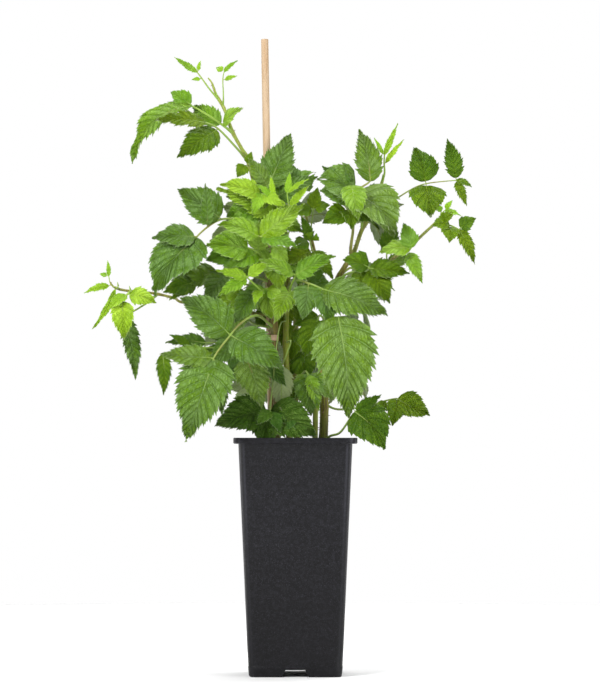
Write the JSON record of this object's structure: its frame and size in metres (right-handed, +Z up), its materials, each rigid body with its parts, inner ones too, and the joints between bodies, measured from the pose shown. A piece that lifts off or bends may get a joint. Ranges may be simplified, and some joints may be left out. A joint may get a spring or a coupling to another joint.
{
  "type": "potted raspberry plant",
  "caption": "Young raspberry plant with canes, side shoots and toothed compound leaves, tied to a round wooden stake in a tall square tapered plastic pot of soil",
  "frame": {"origin": "on the ground under the middle of the plant's outline seen from above; the pot's own middle is 13.4 mm to +X and 5 mm to -Y of it", "axes": "+Z up along the pot, the stake and the canes; +X to the right and -Y towards the viewer when the plant is seen from its front; the pot's sides face +-X and +-Y"},
  "size_m": [0.3497, 0.1992, 0.5706],
  "materials": {
    "pot_plastic": "satin",
    "soil": "matte",
    "stake_wood": "matte",
    "tie_soft": "matte",
    "cane_bark": "matte",
    "cane_green": "satin",
    "leaf_young": "satin",
    "leaf_fresh": "satin",
    "leaf_mature": "satin",
    "leaf_olive": "satin",
    "leaf_dark": "satin"
  },
  "bodies": {
    "root": {"pot": "pot_plastic", "potting_soil": "soil", "stake": "stake_wood", "tie": "tie_soft", "cane_left": "cane_bark", "cane_centre": "cane_green", "cane_right": "cane_bark", "cane_back": "cane_bark", "young_shoot": "cane_green", "side_shoot_far_left": "cane_green", "side_shoot_far_right": "cane_green", "side_shoot_top_right": "cane_bark", "side_shoot_centre": "cane_bark", "leaf_top_left": "leaf_fresh", "leaf_top_left_lower": "leaf_dark", "tip_leaf_left": "leaf_young", "tip_leaf_right": "leaf_young", "small_leaf_top": "leaf_fresh", "leaf_broad_left": "leaf_mature", "leaf_middle_left": "leaf_fresh", "leaf_under_broad": "leaf_dark", "leaf_top_centre": "leaf_dark", "young_leaf_high_left": "leaf_young", "young_leaf_high_right": "leaf_young", "leaf_bright_star": "leaf_fresh", "young_leaf_ribbed": "leaf_young", "leaf_small_middle": "leaf_mature", "leaf_centre": "leaf_fresh", "leaf_centre_right": "leaf_fresh", "leaf_big_right": "leaf_mature", "leaf_high_right": "leaf_mature", "leaf_high_right_lower": "leaf_olive", "small_leaf_centre": "leaf_olive", "young_leaf_top_right": "leaf_young", "leaf_far_right": "leaf_fresh", "leaf_right_tip": "leaf_young", "young_leaf_right_tip": "leaf_young", "leaf_right_middle": "leaf_olive", "leaf_right_dark": "leaf_dark", "leaf_right_behind": "leaf_dark", "leaf_centre_dark": "leaf_dark", "leaf_low_right": "leaf_fresh", "leaf_low_right_dark": "leaf_dark", "leaf_low_centre": "leaf_dark", "leaf_low_left": "leaf_mature", "leaf_low_middle": "leaf_dark", "leaf_low_underside": "leaf_olive", "leaf_behind_left": "leaf_olive", "leaf_far_left": "leaf_young", "leaf_far_left_hanging": "leaf_olive", "young_leaf_left_tip": "leaf_young", "back_leaf_top": "leaf_dark", "back_leaf_upper_left": "leaf_mature", "back_leaf_upper_right": "leaf_dark", "back_leaf_middle": "leaf_mature", "back_leaf_middle_right": "leaf_fresh", "back_leaf_middle_left": "leaf_olive", "back_leaf_lower": "leaf_dark", "back_leaf_lower_left": "leaf_mature", "back_leaf_lower_right": "leaf_mature"}
  },
  "joints": []
}
